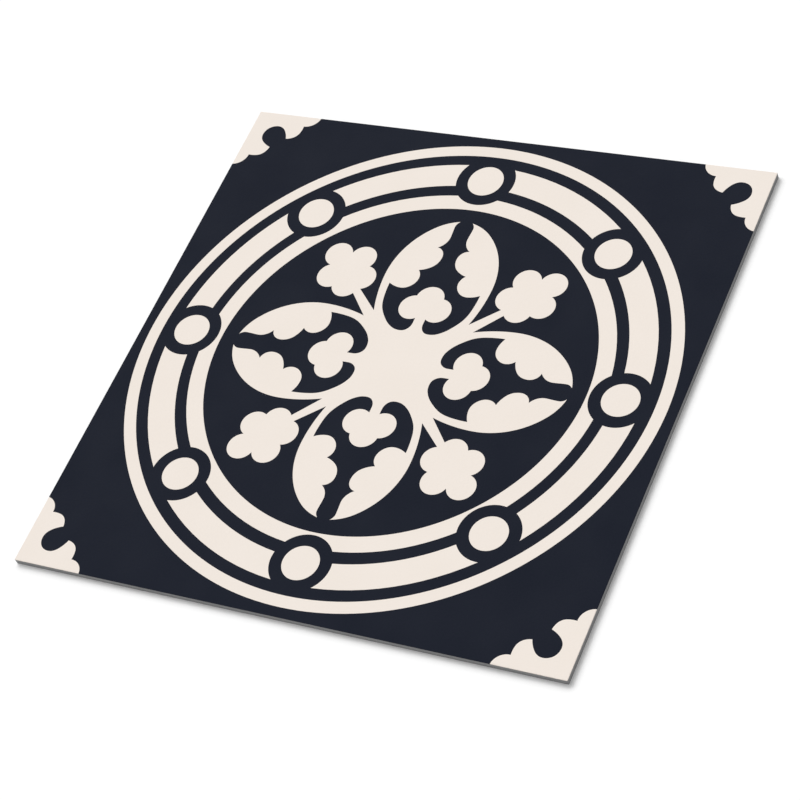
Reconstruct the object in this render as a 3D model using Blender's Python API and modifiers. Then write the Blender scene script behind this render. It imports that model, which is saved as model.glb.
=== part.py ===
"""A square printed floor tile of filled vinyl, lying face up.

The tile is one die-cut sheet. Its plan is a square whose four corners have the small
radius of the cutting die. The cut rounds the rim of the printed face a little, and the
back keeps a square edge, so that it beds flat on the adhesive.

Metres, +Z up. The origin is in the middle of the back, X and Y run along the cut edges,
and the printed face looks up.
"""

import bmesh
import bpy
from mathutils import Vector

# Sizes of the sheet.
TILE_SIDE = 0.305
TILE_THICKNESS = 0.0032

# Rounding that the die leaves, in plan at each corner and along the rim of the face.
CORNER_RADIUS = 0.0005
CORNER_SEGMENTS = 6
RIM_RADIUS = 0.0002
RIM_SEGMENTS = 3

# The filled vinyl of the cut edge, a neutral grey with a dull surface.
VINYL_COLOUR = (0.263, 0.263, 0.266, 1.0)
VINYL_ROUGHNESS = 0.55

TILE_NAME = "vinyl_tile"


def clear_scene():
    """Removes whatever the scene starts with."""
    for scene_object in list(bpy.data.objects):
        bpy.data.objects.remove(scene_object, do_unlink=True)


def part_collection():
    """A collection for the tile, linked to the scene."""
    collection = bpy.data.collections.new("vinyl_floor_tile")
    bpy.context.scene.collection.children.link(collection)
    return collection


def vinyl_material():
    """Dull grey filled vinyl."""
    material = bpy.data.materials.new("filled_vinyl")
    material.use_nodes = True
    shader = material.node_tree.nodes["Principled BSDF"]
    shader.inputs["Base Color"].default_value = VINYL_COLOUR
    shader.inputs["Roughness"].default_value = VINYL_ROUGHNESS
    shader.inputs["Metallic"].default_value = 0.0
    return material


def is_upright(edge):
    """True for an edge that runs through the thickness of the sheet."""
    return abs(edge.verts[0].co.z - edge.verts[1].co.z) > TILE_THICKNESS / 2


def blank_sheet():
    """The cut blank: a box on the floor with its four upright edges rounded."""
    blank = bmesh.new()
    bmesh.ops.create_cube(blank, size=1.0)
    bmesh.ops.scale(
        blank, verts=blank.verts, vec=Vector((TILE_SIDE, TILE_SIDE, TILE_THICKNESS))
    )
    bmesh.ops.translate(
        blank, verts=blank.verts, vec=Vector((0.0, 0.0, TILE_THICKNESS / 2))
    )
    bmesh.ops.bevel(
        blank,
        geom=[edge for edge in blank.edges if is_upright(edge)],
        offset=CORNER_RADIUS,
        offset_type="OFFSET",
        segments=CORNER_SEGMENTS,
        profile=0.5,
        affect="EDGES",
    )
    return blank


def mark_face_rim(blank):
    """Gives full bevel weight to every edge round the printed face."""
    weight = blank.edges.layers.float.new("bevel_weight_edge")
    blank.faces.ensure_lookup_table()
    printed_face = max(blank.faces, key=lambda face: face.calc_center_median().z)
    for edge in printed_face.edges:
        edge[weight] = 1.0


def add_tile(collection, material):
    """The whole tile, with its rim rounded by a Bevel modifier."""
    blank = blank_sheet()
    mark_face_rim(blank)
    mesh = bpy.data.meshes.new(TILE_NAME)
    blank.to_mesh(mesh)
    blank.free()
    tile = bpy.data.objects.new(TILE_NAME, mesh)
    collection.objects.link(tile)
    mesh.materials.append(material)
    rim = tile.modifiers.new("rim_rounding", "BEVEL")
    rim.limit_method = "WEIGHT"
    rim.width = RIM_RADIUS
    rim.segments = RIM_SEGMENTS
    return tile


def main():
    clear_scene()
    add_tile(part_collection(), vinyl_material())


main()
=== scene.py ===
"""A printed square floor tile of filled vinyl, lying face up on a white studio floor.

The tile is one die-cut sheet of grey vinyl. Its face carries a film printed in two inks:
a cream rosette inside rings, with a quarter of a flower in each corner, on a navy ground,
as old inlaid church floors have it.

Metres, +Z up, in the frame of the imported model. Outlines of the print are in millimetres.
"""

import math

import bmesh
import bpy
from mathutils import Matrix, Vector


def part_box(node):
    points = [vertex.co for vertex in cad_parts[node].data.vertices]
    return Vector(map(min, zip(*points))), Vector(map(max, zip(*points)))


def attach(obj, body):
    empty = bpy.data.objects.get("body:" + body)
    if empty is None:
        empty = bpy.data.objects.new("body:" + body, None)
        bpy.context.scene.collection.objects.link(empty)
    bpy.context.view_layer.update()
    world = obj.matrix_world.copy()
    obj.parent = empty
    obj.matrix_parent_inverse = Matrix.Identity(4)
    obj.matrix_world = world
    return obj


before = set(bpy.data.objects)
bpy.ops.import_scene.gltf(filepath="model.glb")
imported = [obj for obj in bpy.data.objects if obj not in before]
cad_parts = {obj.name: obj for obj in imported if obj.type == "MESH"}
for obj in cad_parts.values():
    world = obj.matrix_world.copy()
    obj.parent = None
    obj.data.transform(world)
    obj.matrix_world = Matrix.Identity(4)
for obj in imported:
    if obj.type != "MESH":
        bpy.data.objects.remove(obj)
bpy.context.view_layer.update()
bpy.ops.object.select_all(action="DESELECT")


# The camera. It looks down on one corner of the tile through a long lens, and is turned
# about its own axis, so that the square lies aslant in the picture.
FACE_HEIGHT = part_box("vinyl_tile")[1].z
CAMERA_AIM = Vector((0.0101, -0.0201, FACE_HEIGHT))
CAMERA_DISTANCE = 1.2897
CAMERA_HEADING = math.radians(43.03)
CAMERA_DIP = math.radians(48.96)
CAMERA_ROLL = math.radians(-25.40)
LENS_MM = 116.46
SENSOR_MM = 36.0
CLIP_NEAR = 0.01
CLIP_FAR = 100.0

camera_turn = (
    Matrix.Rotation(CAMERA_HEADING, 4, "Z")
    @ Matrix.Rotation(math.radians(90) - CAMERA_DIP, 4, "X")
    @ Matrix.Rotation(CAMERA_ROLL, 4, "Z")
)
camera_back = camera_turn.to_3x3() @ Vector((0.0, 0.0, 1.0))
bpy.ops.object.camera_add(
    location=CAMERA_AIM + camera_back * CAMERA_DISTANCE, rotation=camera_turn.to_euler()
)
camera = bpy.context.object
camera.name = "picture_camera"
camera.data.lens = LENS_MM
camera.data.sensor_width = SENSOR_MM
camera.data.clip_start = CLIP_NEAR
camera.data.clip_end = CLIP_FAR
bpy.context.scene.camera = camera
bpy.context.scene.view_settings.view_transform = "Standard"


# The light. Two broad soft lamps stand behind the tile, one to each side of its far corner,
# under an even white sky, so that the two near edges and a narrow strip of floor are in shade.
LAMP_HEADINGS = (math.radians(34), math.radians(68))
LAMP_HEIGHT = math.radians(42)
LAMP_SPREAD = math.radians(34)
LAMP_SHARE = 0.59
SKY_SHARE = 1.0 - LAMP_SHARE
SKY_SEEN = 1.0
WHITE = (1.0, 1.0, 1.0, 1.0)

for number, heading in enumerate(LAMP_HEADINGS):
    bpy.ops.object.light_add(
        type="SUN", rotation=(math.radians(90) - LAMP_HEIGHT, 0.0, math.pi + heading)
    )
    lamp = bpy.context.object
    lamp.name = f"soft_lamp_{number + 1}"
    lamp.data.angle = LAMP_SPREAD
    lamp.data.energy = LAMP_SHARE * math.pi / math.sin(LAMP_HEIGHT) / len(LAMP_HEADINGS)
    lamp.visible_glossy = False


def feed(tree, source, socket):
    """Links a socket to another, or writes a plain number or colour on it."""
    if isinstance(source, bpy.types.NodeSocket):
        tree.links.new(source, socket)
    else:
        socket.default_value = source


def maths(tree, operation, first, second):
    """The result of a Math node on two values, which are numbers or sockets."""
    node = tree.nodes.new("ShaderNodeMath")
    node.operation = operation
    feed(tree, first, node.inputs[0])
    feed(tree, second, node.inputs[1])
    return node.outputs["Value"]


def two_shaders(tree, share, first, second):
    """The first shader where share is 0 and the second where it is 1."""
    mix = tree.nodes.new("ShaderNodeMixShader")
    feed(tree, share, mix.inputs["Fac"])
    feed(tree, first, mix.inputs[1])
    feed(tree, second, mix.inputs[2])
    return mix.outputs["Shader"]


def seen_directly(tree):
    """A mask of 1 for what the camera sees straight on, in a reflection or through glass."""
    path = tree.nodes.new("ShaderNodeLightPath").outputs
    seen_or_mirrored = maths(tree, "MAXIMUM", path["Is Camera Ray"], path["Is Glossy Ray"])
    return maths(tree, "MAXIMUM", seen_or_mirrored, path["Is Transmission Ray"])


sky = bpy.data.worlds.new("studio_sky")
bpy.context.scene.world = sky
sky.use_nodes = True
sky_tree = sky.node_tree
sky_tree.nodes.clear()
backgrounds = []
for strength in (SKY_SHARE, SKY_SEEN):
    background = sky_tree.nodes.new("ShaderNodeBackground")
    background.inputs["Color"].default_value = WHITE
    background.inputs["Strength"].default_value = strength
    backgrounds.append(background.outputs["Background"])
sky_out = sky_tree.nodes.new("ShaderNodeOutputWorld")
sky_shader = two_shaders(sky_tree, seen_directly(sky_tree), *backgrounds)
feed(sky_tree, sky_shader, sky_out.inputs["Surface"])


# The floor. A white sweep that keeps the tile's shadow. It is clear from below, and clear to
# the light that reaches the tile's back across the gap between them, so that the back shows.
FLOOR_SIZE = 60.0
FLOOR_GAP = 0.00002
BACK_LIGHT_REACH = 0.00008

# Its white for the light that it throws back on the tile, and its white for the camera, which
# also sees a faint glow, so that the bare floor shows as pure white.
FLOOR_WHITE = 0.88
FLOOR_SEEN = 1.0
FLOOR_LIFT = 0.03
NONE_TO_ALL = (0.0, 1.0)


def between(tree, value, reach, to_reach):
    """A value carried from one reach of numbers to another, held at both ends."""
    step = tree.nodes.new("ShaderNodeMapRange")
    ends = ("From Min", "From Max", "To Min", "To Max")
    feed(tree, value, step.inputs["Value"])
    for end, number in zip(ends, (*reach, *to_reach)):
        feed(tree, number, step.inputs[end])
    return step.outputs["Result"]


bpy.ops.mesh.primitive_plane_add(size=FLOOR_SIZE, location=(0.0, 0.0, -FLOOR_GAP))
floor = bpy.context.object
floor.name = "studio_floor"
floor_paint = bpy.data.materials.new("studio_white")
floor_paint.use_nodes = True
floor_tree = floor_paint.node_tree
floor_tree.nodes.clear()
seen = seen_directly(floor_tree)
chalk = floor_tree.nodes.new("ShaderNodeBsdfDiffuse")
floor_white = between(floor_tree, seen, NONE_TO_ALL, (FLOOR_WHITE, FLOOR_SEEN))
feed(floor_tree, floor_white, chalk.inputs["Color"])
lift = floor_tree.nodes.new("ShaderNodeEmission")
feed(floor_tree, maths(floor_tree, "MULTIPLY", seen, FLOOR_LIFT), lift.inputs["Strength"])
lit_floor = floor_tree.nodes.new("ShaderNodeAddShader")
feed(floor_tree, chalk.outputs["BSDF"], lit_floor.inputs[0])
feed(floor_tree, lift.outputs["Emission"], lit_floor.inputs[1])
floor_side = floor_tree.nodes.new("ShaderNodeNewGeometry")
floor_path = floor_tree.nodes.new("ShaderNodeLightPath")
from_back = maths(floor_tree, "LESS_THAN", floor_path.outputs["Ray Length"], BACK_LIGHT_REACH)
see_through = maths(floor_tree, "MAXIMUM", floor_side.outputs["Backfacing"], from_back)
clear = floor_tree.nodes.new("ShaderNodeBsdfTransparent")
floor_shader = two_shaders(
    floor_tree, see_through, lit_floor.outputs["Shader"], clear.outputs["BSDF"]
)
floor_out = floor_tree.nodes.new("ShaderNodeOutputMaterial")
feed(floor_tree, floor_shader, floor_out.inputs["Surface"])
floor.data.materials.append(floor_paint)


# The sheet. The tile's body is calendered vinyl, filled with ground limestone, and shows as a
# dull grey edge with fine mineral specks where the die cut it, and as a plain grey back.
VINYL_GREY = (0.286, 0.286, 0.289, 1.0)
VINYL_DARK = (0.244, 0.244, 0.247, 1.0)
VINYL_ROUGHNESS = (0.52, 0.68)
VINYL_SPECULAR = 0.25

# Thin flat layers from the calender, as noise squeezed in height.
LAYER_STRETCH = (1.0, 1.0, 9.0)
LAYER_SCALE = 220.0
LAYER_DETAIL = 3.0
LAYER_COLOUR_REACH = (0.32, 0.68)
LAYER_SHEEN_REACH = (0.30, 0.70)

# Specks of the filler. A cell's speck fades in over SPECK_EDGE, measured from its middle. Each
# kind has its colour, the channel of the cell's random colour that picks it, how high that has
# to be before the speck starts, and the strength that it reaches at SPECK_SURE.
SPECK_SCALE = 2600.0
SPECK_EDGE = (0.48, 0.34)
SPECK_SURE = 0.98
SPECK_KINDS = (
    ((0.400, 0.398, 0.392, 1.0), "Red", 0.60, 0.80),
    ((0.120, 0.120, 0.124, 1.0), "Green", 0.84, 0.60),
)

# Upright marks that the die drags down the cut, as noise drawn out in height.
DRAG_STRETCH = (1.0, 1.0, 0.12)
DRAG_SCALE = 1500.0
DRAG_DETAIL = 2.0
DRAG_STRENGTH = 0.35
DRAG_DEPTH = 0.00008


def object_noise(tree, stretch, scale, detail):
    """Noise on object coordinates, drawn out along an axis by a small number in stretch."""
    place = tree.nodes.new("ShaderNodeTexCoord")
    mapping = tree.nodes.new("ShaderNodeMapping")
    noise = tree.nodes.new("ShaderNodeTexNoise")
    feed(tree, place.outputs["Object"], mapping.inputs["Vector"])
    feed(tree, stretch, mapping.inputs["Scale"])
    feed(tree, mapping.outputs["Vector"], noise.inputs["Vector"])
    feed(tree, scale, noise.inputs["Scale"])
    feed(tree, detail, noise.inputs["Detail"])
    return noise.outputs["Fac"]


def two_colours(tree, share, first, second):
    """The first colour where share is 0 and the second where it is 1."""
    mix = tree.nodes.new("ShaderNodeMix")
    mix.data_type = "RGBA"
    feed(tree, share, mix.inputs["Factor"])
    colours = [socket for socket in mix.inputs if socket.type == "RGBA"]
    feed(tree, first, colours[0])
    feed(tree, second, colours[1])
    return next(socket for socket in mix.outputs if socket.type == "RGBA")


def bumped(tree, height, strength, depth):
    """The surface's normal, tilted by the slopes of a height."""
    bump = tree.nodes.new("ShaderNodeBump")
    feed(tree, strength, bump.inputs["Strength"])
    feed(tree, depth, bump.inputs["Distance"])
    feed(tree, height, bump.inputs["Height"])
    return bump.outputs["Normal"]


vinyl = bpy.data.materials.new("filled_vinyl_core")
vinyl.use_nodes = True
vinyl_tree = vinyl.node_tree
vinyl_shader = vinyl_tree.nodes["Principled BSDF"]
vinyl_shader.inputs["Specular IOR Level"].default_value = VINYL_SPECULAR

layers = object_noise(vinyl_tree, LAYER_STRETCH, LAYER_SCALE, LAYER_DETAIL)
vinyl_colour = two_colours(
    vinyl_tree, between(vinyl_tree, layers, LAYER_COLOUR_REACH, NONE_TO_ALL), VINYL_DARK, VINYL_GREY
)
vinyl_place = vinyl_tree.nodes.new("ShaderNodeTexCoord")
specks = vinyl_tree.nodes.new("ShaderNodeTexVoronoi")
feed(vinyl_tree, vinyl_place.outputs["Object"], specks.inputs["Vector"])
feed(vinyl_tree, SPECK_SCALE, specks.inputs["Scale"])
chances = vinyl_tree.nodes.new("ShaderNodeSeparateColor")
feed(vinyl_tree, specks.outputs["Color"], chances.inputs["Color"])
in_speck = between(vinyl_tree, specks.outputs["Distance"], SPECK_EDGE, NONE_TO_ALL)
for speck_colour, channel, start, strength in SPECK_KINDS:
    chosen = between(vinyl_tree, chances.outputs[channel], (start, SPECK_SURE), (0.0, strength))
    speck_share = maths(vinyl_tree, "MULTIPLY", chosen, in_speck)
    vinyl_colour = two_colours(vinyl_tree, speck_share, vinyl_colour, speck_colour)
feed(vinyl_tree, vinyl_colour, vinyl_shader.inputs["Base Color"])
vinyl_roughness = between(vinyl_tree, layers, LAYER_SHEEN_REACH, VINYL_ROUGHNESS)
feed(vinyl_tree, vinyl_roughness, vinyl_shader.inputs["Roughness"])
drag = object_noise(vinyl_tree, DRAG_STRETCH, DRAG_SCALE, DRAG_DETAIL)
dragged = bumped(vinyl_tree, drag, DRAG_STRENGTH, DRAG_DEPTH)
feed(vinyl_tree, dragged, vinyl_shader.inputs["Normal"])

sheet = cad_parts["vinyl_tile"]
sheet.data.materials.clear()
sheet.data.materials.append(vinyl)


# The print. A thin film, printed in navy and cream and sealed under a matt clear coat, covers
# the face and rolls over its eased rim, down to the cut. Each ink is a closed coat of its own,
# and the two fit edge to edge.
MM = 0.001
RIM_ROUNDING = 0.2
SHEET_CORNER = 0.5
FILM_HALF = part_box("vinyl_tile")[1].x / MM - RIM_ROUNDING
FILM_CORNER = SHEET_CORNER - RIM_ROUNDING
FILM_THICKNESS = 0.06
ON_EDGE = 0.001

# Middles of the printed parts, which sit a little off the middle of the tile.
FLOWER_MIDDLE = (0.055, -0.085)
RINGS_MIDDLE = (0.05, -0.11)
PEARLS_MIDDLE = (-0.557, 1.071)
# The flower is printed a little long along X and short along Y.
FLOWER_STRETCH = (1.0017, 0.9983)

# An outline is a list of corners, each with the rise of the arc that leads on from it, which is
# above 0 where the arc bends to the left of its chord. These are for drawing it as a curve.
CURVE_STEPS = 12
LONGEST_ARC = math.radians(90)
SMOOTH_JOINT = math.radians(14)
NO_TURN = 1e-4
ROUND_OFF = 1e-6


def arc_turn(start, end, rise):
    """How far an arc turns, from its chord and its rise to the left of the way along it."""
    return 4 * math.atan(2 * rise / math.dist(start, end))


def short_arcs(outline):
    """The outline with each arc of more than a quarter turn divided into equal shorter ones."""
    points = []
    for (x, y, rise), (next_x, next_y, _) in zip(outline, outline[1:] + outline[:1]):
        turn = arc_turn((x, y), (next_x, next_y), rise)
        parts = max(1, math.ceil(abs(turn) / LONGEST_ARC - ROUND_OFF))
        if parts == 1:
            points.append((x, y, rise))
            continue
        chord = math.dist((x, y), (next_x, next_y))
        radius = (chord * chord / 4 + rise * rise) / (2 * abs(rise))
        reach = rise - math.copysign(radius, rise)
        centre_x = (x + next_x) / 2 + (y - next_y) / chord * reach
        centre_y = (y + next_y) / 2 + (next_x - x) / chord * reach
        first = math.atan2(y - centre_y, x - centre_x)
        part_rise = math.copysign(radius * (1 - math.cos(turn / parts / 2)), rise)
        for part in range(parts):
            angle = first - turn * part / parts
            part_x = centre_x + radius * math.cos(angle)
            part_y = centre_y + radius * math.sin(angle)
            points.append((part_x, part_y, part_rise))
    return points


def handle_length(chord, turn):
    """How long the curve's handles are where it follows an arc with this chord and turn."""
    if abs(turn) <= NO_TURN:
        return chord / 3
    return 2 / 3 * math.tan(abs(turn) / 4) * chord / math.sin(abs(turn) / 2)


def handled_points(outline):
    """Each corner with its two curve handles. Nearly smooth joints are made smooth."""
    points = short_arcs(outline)
    count = len(points)
    arriving = [0.0] * count
    leaving = [0.0] * count
    reach_back = [0.0] * count
    reach_on = [0.0] * count
    for here, (x, y, rise) in enumerate(points):
        after = (here + 1) % count
        next_x, next_y, _ = points[after]
        turn = arc_turn((x, y), (next_x, next_y), rise)
        heading = math.atan2(next_y - y, next_x - x)
        leaving[here] = heading + turn / 2
        arriving[after] = heading - turn / 2
        reach_on[here] = handle_length(math.dist((x, y), (next_x, next_y)), turn)
        reach_back[after] = reach_on[here]
    handled = []
    for here, (x, y, _) in enumerate(points):
        kink = (leaving[here] - arriving[here] + math.pi) % (2 * math.pi) - math.pi
        back, on = arriving[here], leaving[here]
        if abs(kink) < SMOOTH_JOINT:
            back = on = arriving[here] + kink / 2
        handle_back = (x - reach_back[here] * math.cos(back), y - reach_back[here] * math.sin(back))
        handle_on = (x + reach_on[here] * math.cos(on), y + reach_on[here] * math.sin(on))
        handled.append(((x, y), handle_back, handle_on))
    return handled


def joined(*paths):
    """Open paths end to end, where each starts at the last point of the one before."""
    outline = []
    for path in paths:
        outline += path[:-1]
    return outline


def backwards(path):
    """An open path walked from its last point to its first, on the same curve mirrored."""
    rises = [0.0] + [rise for _, _, rise in path[:-1]]
    return [(x, y, rise) for (x, y, _), rise in reversed(list(zip(path, rises)))]


def mirrored(path, turn_x, turn_y):
    """The path with X or Y turned round, walked backwards so that its arcs keep their side."""
    return [(x * turn_x, y * turn_y, rise) for x, y, rise in backwards(path)]


def in_diagonal(path):
    """The path mirrored in the diagonal of its quarter and walked backwards."""
    return [(y, x, rise) for x, y, rise in backwards(path)]


def in_four(path):
    """The path of the first quarter and its copies in the other three, going clockwise."""
    half_turned = [(-x, -y, rise) for x, y, rise in path]
    return [path, mirrored(path, 1, -1), half_turned, mirrored(path, -1, 1)]


# Half a trefoil leaf, from its heart along the stem side to its tip and back down its outer
# edge, in the quarter between +X and +Y.
LEAF_HALF = [
    (0.0, 51.3, 2.0),
    (7.75, 44.45, 9.44),
    (2.9, 30.45, 0.0),
    (2.9, 27.1, -0.46),
    (4.8, 22.7, -0.47),
    (8.9, 21.5, -0.21),
    (12.5, 22.3, -0.48),
    (18.9, 27.3, -0.23),
    (23.3, 33.5, -0.29),
    (25.4, 40.7, -0.20),
    (26.1, 50.0, 0.47),
    (19.1, 47.9, 1.21),
    (12.1, 52.3, 1.49),
    (13.6, 60.6, 0.40),
    (7.4, 63.6, 1.01),
    (4.2, 71.0, 1.43),
    (9.2, 76.6, 1.16),
    (4.9, 84.3, 0.0),
    (5.3, 91.3, -0.43),
    (3.5, 95.0, 0.70),
    (14.9, 89.6, 0.96),
    (26.4, 75.1, 1.15),
    (30.9, 55.0, 0.87),
    (27.2, 31.2, 0.0),
]
# The small flower of five lobes on its stem between two leaves.
LOBE_RADIUS = 7.65
LOBE_MIDDLES = [(42.64, 50.69), (47.56, 62.96), (61.98, 63.18), (60.69, 48.95), (49.68, 44.39)]
LOBE_CUSPS = [(40.6, 43.3), (41.56, 58.26), (54.74, 65.54), (64.04, 55.84), (57.04, 42.22)]
STEM_FOOT = (43.4, 40.05, 0.0)
NEXT_LEAF_START = (31.35, 27.05)


def lobe_rise(middle, start, end):
    """Rise of a lobe's arc from one cusp to the next, the long way round its outer side."""
    first = math.atan2(start[1] - middle[1], start[0] - middle[0])
    last = math.atan2(end[1] - middle[1], end[0] - middle[0])
    return LOBE_RADIUS * (1 - math.cos((first - last) % (2 * math.pi) / 2))


def flower_outline():
    """The outline of the rosette: four leaves and four small flowers round an open heart."""
    lobes = []
    for middle, start, end in zip(LOBE_MIDDLES, LOBE_CUSPS, LOBE_CUSPS[1:] + [STEM_FOOT]):
        lobes.append((*start, lobe_rise(middle, start, end)))
    next_leaf = in_diagonal(LEAF_HALF)
    next_leaf[0] = (*NEXT_LEAF_START, next_leaf[0][2])
    quarter = LEAF_HALF + lobes + [STEM_FOOT] + next_leaf
    outline = []
    for x, y, rise in joined(*in_four(quarter)):
        placed_x = x * FLOWER_STRETCH[0] + FLOWER_MIDDLE[0]
        placed_y = y * FLOWER_STRETCH[1] + FLOWER_MIDDLE[1]
        outline.append((placed_x, placed_y, rise))
    return outline


# The rings, from the outside in: a plain line, a band cut into eight by the pearls, and a band
# that the pearls' dark haloes bite into. An edge of the last has a mean radius, and the
# amounts by which it swells twice and four times on the way round.
LINE_RADII = (146.87, 140.26)
BAND_OUTSIDE = 133.80
BAND_INSIDE = 119.20
INNER_OUTSIDE = (112.69, 0.33, 0.09)
INNER_INSIDE = (103.55, 0.34, 0.18)
RING_POINTS = 16
PEARL_COUNT = 8
PEARL_CIRCLE = 122.47
PEARL_RADIUS = 9.82
PEARL_POINTS = 8
HALO_RADIUS = 16.43
BITE_ROUNDS = 3


def swollen_radius(radii, angle):
    """The radius at an angle of an edge that swells twice and four times on the way round."""
    mean, twice, four_times = radii
    return mean + twice * math.cos(2 * angle) + four_times * math.cos(4 * angle)


def swollen_edge(middle, radii, points):
    """The outline of an edge that swells twice and four times on the way round."""
    rise = -radii[0] * (1 - math.cos(math.pi / points))
    edge = []
    for number in range(points):
        angle = 2 * math.pi * number / points
        radius = swollen_radius(radii, angle)
        x = middle[0] + radius * math.cos(angle)
        y = middle[1] + radius * math.sin(angle)
        edge.append((x, y, rise))
    return edge


def round_edge(middle, radius, points):
    """The outline of a circle."""
    return swollen_edge(middle, (radius, 0.0, 0.0), points)


def arc_rise(start, end, radius):
    """Rise of the shorter arc of a radius, which is below 0 for one that bends to the right."""
    half = math.dist(start, end) / 2
    return math.copysign(abs(radius) - math.sqrt(radius * radius - half * half), radius)


def crossing(middle, radius, other, other_radius, way):
    """Where a circle meets another, before it on the way round for -1 and after it for 1."""
    apart = math.dist(middle, other)
    toward = math.atan2(other[1] - middle[1], other[0] - middle[0])
    cosine = (radius**2 + apart**2 - other_radius**2) / (2 * radius * apart)
    angle = toward + way * math.acos(cosine)
    return (middle[0] + radius * math.cos(angle), middle[1] + radius * math.sin(angle))


pearls = [
    (
        PEARLS_MIDDLE[0] + PEARL_CIRCLE * math.cos(2 * math.pi * number / PEARL_COUNT),
        PEARLS_MIDDLE[1] + PEARL_CIRCLE * math.sin(2 * math.pi * number / PEARL_COUNT),
    )
    for number in range(PEARL_COUNT)
]
pearl_pairs = list(zip(pearls, pearls[1:] + pearls[:1]))


def band_pieces():
    """The eight stretches of the middle band, each from one halo to the next."""
    radii = (-BAND_OUTSIDE, HALO_RADIUS, BAND_INSIDE, HALO_RADIUS)
    pieces = []
    for pearl, following in pearl_pairs:
        corners = [
            crossing(RINGS_MIDDLE, BAND_OUTSIDE, pearl, HALO_RADIUS, 1),
            crossing(RINGS_MIDDLE, BAND_OUTSIDE, following, HALO_RADIUS, -1),
            crossing(RINGS_MIDDLE, BAND_INSIDE, following, HALO_RADIUS, -1),
            crossing(RINGS_MIDDLE, BAND_INSIDE, pearl, HALO_RADIUS, 1),
        ]
        piece = []
        for corner, after, radius in zip(corners, corners[1:] + corners[:1], radii):
            piece.append((*corner, arc_rise(corner, after, radius)))
        pieces.append(piece)
    return pieces


def bite(pearl, way):
    """Where a halo leaves the inner band's outside, whose radius changes with the angle."""
    place = pearl
    for _ in range(BITE_ROUNDS):
        angle = math.atan2(place[1] - RINGS_MIDDLE[1], place[0] - RINGS_MIDDLE[0])
        radius = swollen_radius(INNER_OUTSIDE, angle)
        place = crossing(RINGS_MIDDLE, radius, pearl, HALO_RADIUS, way)
    return place


def bitten_edge():
    """The inner band's outside, with the eight bites of the haloes."""
    edge = []
    for pearl, following in pearl_pairs:
        enter, leave, next_enter = bite(pearl, -1), bite(pearl, 1), bite(following, -1)
        edge.append((*enter, arc_rise(enter, leave, HALO_RADIUS)))
        edge.append((*leave, arc_rise(leave, next_enter, -INNER_OUTSIDE[0])))
    return edge


# Half of the cut flower in a corner, from the tile's edge to its diagonal. The first number
# is the distance from the edge beside it and the second from the edge it starts on.
CORNER_FLOWER_HALF = [
    (38.92, 0.2, -1.96),
    (31.0, 6.9, -0.21),
    (30.7, 11.8, -0.67),
    (27.1, 16.1, -0.14),
    (24.05, 16.95, 0.30),
    (20.8, 11.3, 0.47),
    (16.2, 8.85, 0.49),
    (10.8, 10.8, 0.0),
]


def off_centre(path):
    """The path moved with the flower's middle, while points on the film's edge stay on it."""
    moved = []
    for x, y, rise in path:
        if abs(x) < FILM_HALF - ON_EDGE:
            x += FLOWER_MIDDLE[0]
        if abs(y) < FILM_HALF - ON_EDGE:
            y += FLOWER_MIDDLE[1]
        moved.append((x, y, rise))
    return moved


def corner_flowers():
    """The open paths of the four corner flowers, each from one side of the film to the next."""
    tile_half = FILM_HALF + RIM_ROUNDING
    path = CORNER_FLOWER_HALF[:-1] + in_diagonal(CORNER_FLOWER_HALF)
    first = [(tile_half - across, tile_half - along, rise) for across, along, rise in path]
    return [off_centre(path) for path in in_four(first)]


def corner_patches():
    """The cream patch in each corner: the flower's path closed round the film's own corner."""
    straight = FILM_HALF - FILM_CORNER
    rise = -FILM_CORNER * (1 - math.sqrt(0.5))
    film_corner = [(FILM_HALF, straight, rise), (straight, FILM_HALF, 0.0)]
    return [flower + corner for flower, corner in zip(corner_flowers(), in_four(film_corner))]


# The coats. Both are filled from the same outlines, so that each lies where the other doesn't.
# A coat is taken over the rim in steps, and given its thickness with none at the cut.
RIM_STEPS = 3
STRAIGHT_ENOUGH = math.radians(0.05)
WELD_REACH = 0.0005

# Start and size of two squares on a coat's map: one for its faces that look up by more than
# FACE_NORMAL_Z, and one for the rest.
FACE_NORMAL_Z = 0.1
FACE_MAP = (0.02, 0.975)
REST_MAP = (0.002, 0.012)

inner_outlines = (
    [flower_outline()]
    + [round_edge(RINGS_MIDDLE, radius, RING_POINTS) for radius in LINE_RADII]
    + band_pieces()
    + [bitten_edge(), swollen_edge(RINGS_MIDDLE, INNER_INSIDE, RING_POINTS)]
    + [round_edge(pearl, PEARL_RADIUS, PEARL_POINTS) for pearl in pearls]
)


def drawn_flat(name, outlines):
    """A flat mesh, filled and left bare by turns from the outermost outline in."""
    drawing = bpy.data.curves.new(name, "CURVE")
    drawing.dimensions = "2D"
    drawing.fill_mode = "BOTH"
    for outline in outlines:
        handled = handled_points(outline)
        spline = drawing.splines.new("BEZIER")
        spline.use_cyclic_u = True
        spline.resolution_u = CURVE_STEPS
        spline.bezier_points.add(len(handled) - 1)
        for point, (place, back, on) in zip(spline.bezier_points, handled):
            point.handle_left_type = "FREE"
            point.handle_right_type = "FREE"
            point.co = (*place, 0.0)
            point.handle_left = (*back, 0.0)
            point.handle_right = (*on, 0.0)
    coat = bpy.data.objects.new(name, drawing)
    bpy.context.scene.collection.objects.link(coat)
    bpy.ops.object.select_all(action="DESELECT")
    coat.select_set(True)
    bpy.context.view_layer.objects.active = coat
    bpy.ops.object.convert(target="MESH")
    return coat


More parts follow.
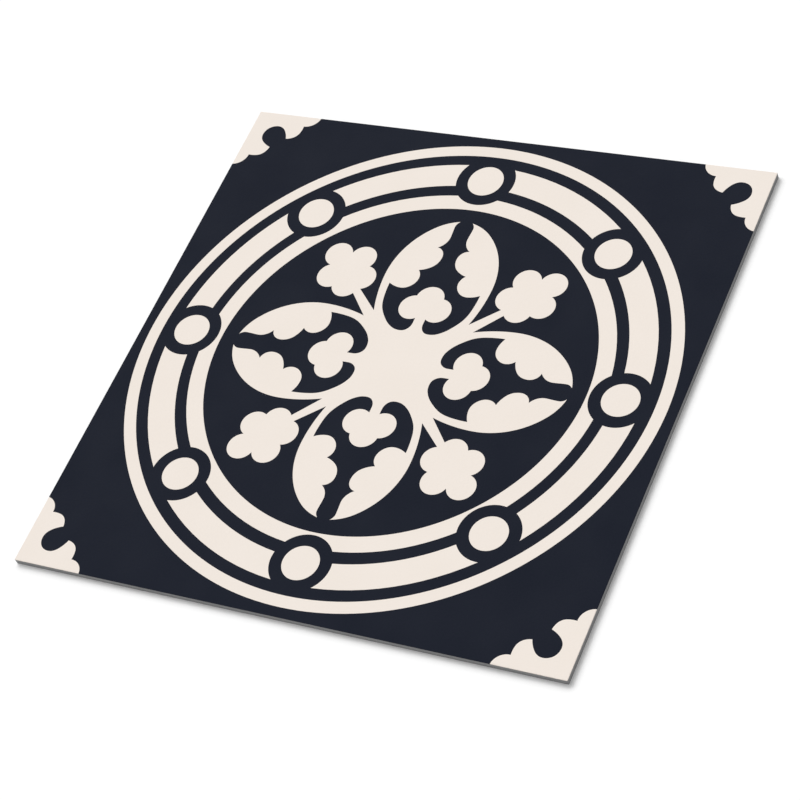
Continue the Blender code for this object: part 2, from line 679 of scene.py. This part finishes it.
def drop_straight_points(coat):
    """Takes out the points that only divide a straight stretch of an outline."""
    bpy.ops.mesh.select_all(action="DESELECT")
    shape = bmesh.from_edit_mesh(coat.data)
    for vertex in shape.verts:
        ends = [edge.other_vert(vertex).co for edge in vertex.link_edges if edge.is_boundary]
        if len(ends) == 2:
            turn = (vertex.co - ends[0]).angle(ends[1] - vertex.co)
            vertex.select_set(turn < STRAIGHT_ENOUGH)
    bmesh.update_edit_mesh(coat.data)
    bpy.ops.mesh.dissolve_verts()
    bpy.ops.mesh.select_all(action="SELECT")
    bpy.ops.mesh.quads_convert_to_tris(ngon_method="BEAUTY")


def off_the_flat(place):
    """How a place lies from the square inside the corner rounding: its foot and the offset."""
    inside = FILM_HALF - FILM_CORNER
    foot = Vector((max(-inside, min(inside, place.x)), max(-inside, min(inside, place.y))))
    return foot, place.to_2d() - foot


def on_film_edge(edge):
    """True for an open edge that lies along the film's outline."""
    offsets = [off_the_flat(vertex.co)[1].length for vertex in edge.verts]
    return edge.is_boundary and min(offsets) > FILM_CORNER - ON_EDGE


def roll_over_rim(coat):
    """Carries the film from the flat over the sheet's rounded rim, down to the cut."""
    shape = bmesh.from_edit_mesh(coat.data)
    for edge in shape.edges:
        edge.select_set(on_film_edge(edge))
    for step in range(RIM_STEPS):
        bpy.ops.mesh.extrude_edges_move()
        shape = bmesh.from_edit_mesh(coat.data)
        angle = math.pi / 2 * (step + 1) / RIM_STEPS
        for vertex in shape.verts:
            if vertex.select:
                foot, offset = off_the_flat(vertex.co)
                out = FILM_CORNER + RIM_ROUNDING * math.sin(angle)
                vertex.co.xy = foot + offset.normalized() * out
                vertex.co.z = RIM_ROUNDING * (math.cos(angle) - 1)
        bmesh.update_edit_mesh(coat.data)


def thicken(coat):
    """Gives the film its thickness, which thins out to nothing where the die cut it."""
    bpy.ops.mesh.select_all(action="SELECT")
    bpy.ops.mesh.extrude_region_move()
    shape = bmesh.from_edit_mesh(coat.data)
    for vertex in shape.verts:
        if vertex.select:
            vertex.co.z += FILM_THICKNESS * (1 + vertex.co.z / RIM_ROUNDING)
    bmesh.update_edit_mesh(coat.data)
    bpy.ops.mesh.select_all(action="SELECT")
    bpy.ops.mesh.remove_doubles(threshold=WELD_REACH)
    bpy.ops.mesh.normals_make_consistent(inside=False)


def lay_flat_map(coat):
    """Gives the printed side nearly the whole of the coat's map and the rest a small corner."""
    tile_half = FILM_HALF + RIM_ROUNDING
    layer = coat.data.uv_layers.new(name="OFBake")
    for face in coat.data.polygons:
        start, size = FACE_MAP if face.normal.z > FACE_NORMAL_Z else REST_MAP
        for corner in face.loop_indices:
            place = coat.data.vertices[coat.data.loops[corner].vertex_index].co / MM
            across = start + size * (place.x / tile_half + 1) / 2
            along = start + size * (place.y / tile_half + 1) / 2
            layer.data[corner].uv = (across, along)


def ink_coat(name, outlines, ink):
    """A closed coat of one ink, on the face and over its rim."""
    coat = drawn_flat(name, outlines)
    bpy.ops.object.mode_set(mode="EDIT")
    drop_straight_points(coat)
    roll_over_rim(coat)
    thicken(coat)
    bpy.ops.object.mode_set(mode="OBJECT")
    coat.scale = (MM, MM, MM)
    coat.location = (0.0, 0.0, FACE_HEIGHT)
    bpy.ops.object.transform_apply(location=True, rotation=True, scale=True)
    coat.data.materials.clear()
    coat.data.materials.append(ink)
    lay_flat_map(coat)
    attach(coat, "root")


# The two inks under the matt clear coat. The film is pressed with a very fine orange-peel
# grain, and each ink lies a little thicker here and thinner there, as roller print does.
NAVY_THIN = (0.0118, 0.0144, 0.0233, 1.0)
NAVY_FULL = (0.0095, 0.0119, 0.0202, 1.0)
NAVY_ROUGHNESS = (0.54, 0.60)
CREAM_THIN = (0.888, 0.812, 0.745, 1.0)
CREAM_FULL = (0.870, 0.794, 0.723, 1.0)
CREAM_ROUGHNESS = (0.57, 0.63)
COAT_SPECULAR = 0.07
GRAIN_DETAIL = 2.0
GRAIN_STRENGTH = 0.5
GRAIN_DEPTH = 0.00010

# Broad drifts of the roller and a fine mottle, both as even noise. A reach is the part of the
# noise that takes the ink from thin to full, and MOTTLE_SHARE is the mottle's part in that.
EVEN = (1.0, 1.0, 1.0)
DRIFT_SCALE = 34.0
DRIFT_DETAIL = 3.0
DRIFT_REACH = (0.35, 0.65)
MOTTLE_SCALE = 900.0
MOTTLE_DETAIL = 2.0
MOTTLE_REACH = (0.30, 0.70)
MOTTLE_SHARE = 0.45

# What the coat's group is set to until a material says otherwise.
COAT_SETTINGS = {"Grain Size": 1100.0, "Roughness Low": 0.5, "Roughness High": 0.6}

coat_group = bpy.data.node_groups.new("matt_clear_coat", "ShaderNodeTree")
for socket_name, setting in COAT_SETTINGS.items():
    socket = coat_group.interface.new_socket(
        name=socket_name, in_out="INPUT", socket_type="NodeSocketFloat"
    )
    socket.default_value = setting
for socket_name in ("Ink Film", "Roughness", "Grain"):
    coat_group.interface.new_socket(
        name=socket_name, in_out="OUTPUT", socket_type="NodeSocketFloat"
    )
coat_in = coat_group.nodes.new("NodeGroupInput").outputs
coat_out = coat_group.nodes.new("NodeGroupOutput").inputs
feed(
    coat_group,
    object_noise(coat_group, EVEN, coat_in["Grain Size"], GRAIN_DETAIL),
    coat_out["Grain"],
)
drift = object_noise(coat_group, EVEN, DRIFT_SCALE, DRIFT_DETAIL)
mottle = object_noise(coat_group, EVEN, MOTTLE_SCALE, MOTTLE_DETAIL)
ink_film = coat_group.nodes.new("ShaderNodeMix")
ink_film.data_type = "FLOAT"
feed(coat_group, MOTTLE_SHARE, ink_film.inputs["Factor"])
feed(coat_group, between(coat_group, drift, DRIFT_REACH, NONE_TO_ALL), ink_film.inputs["A"])
feed(coat_group, between(coat_group, mottle, MOTTLE_REACH, NONE_TO_ALL), ink_film.inputs["B"])
feed(coat_group, ink_film.outputs["Result"], coat_out["Ink Film"])
coat_roughness = (coat_in["Roughness Low"], coat_in["Roughness High"])
feed(coat_group, between(coat_group, drift, DRIFT_REACH, coat_roughness), coat_out["Roughness"])


def printed_ink(name, thin, full, roughness):
    """One ink's material, with the clear coat's grain and sheen over it."""
    ink = bpy.data.materials.new(name)
    ink.use_nodes = True
    tree = ink.node_tree
    shader = tree.nodes["Principled BSDF"]
    shader.inputs["Specular IOR Level"].default_value = COAT_SPECULAR
    clear_coat = tree.nodes.new("ShaderNodeGroup")
    clear_coat.node_tree = coat_group
    clear_coat.inputs["Roughness Low"].default_value = roughness[0]
    clear_coat.inputs["Roughness High"].default_value = roughness[1]
    colour = two_colours(tree, clear_coat.outputs["Ink Film"], thin, full)
    grained = bumped(tree, clear_coat.outputs["Grain"], GRAIN_STRENGTH, GRAIN_DEPTH)
    feed(tree, colour, shader.inputs["Base Color"])
    feed(tree, clear_coat.outputs["Roughness"], shader.inputs["Roughness"])
    feed(tree, grained, shader.inputs["Normal"])
    return ink


navy_ink = printed_ink("navy_ink", NAVY_THIN, NAVY_FULL, NAVY_ROUGHNESS)
cream_ink = printed_ink("cream_ink", CREAM_THIN, CREAM_FULL, CREAM_ROUGHNESS)
navy_ground = sum(corner_flowers(), [])
ink_coat("navy_print", [navy_ground] + inner_outlines, navy_ink)
ink_coat("cream_print", corner_patches() + inner_outlines, cream_ink)
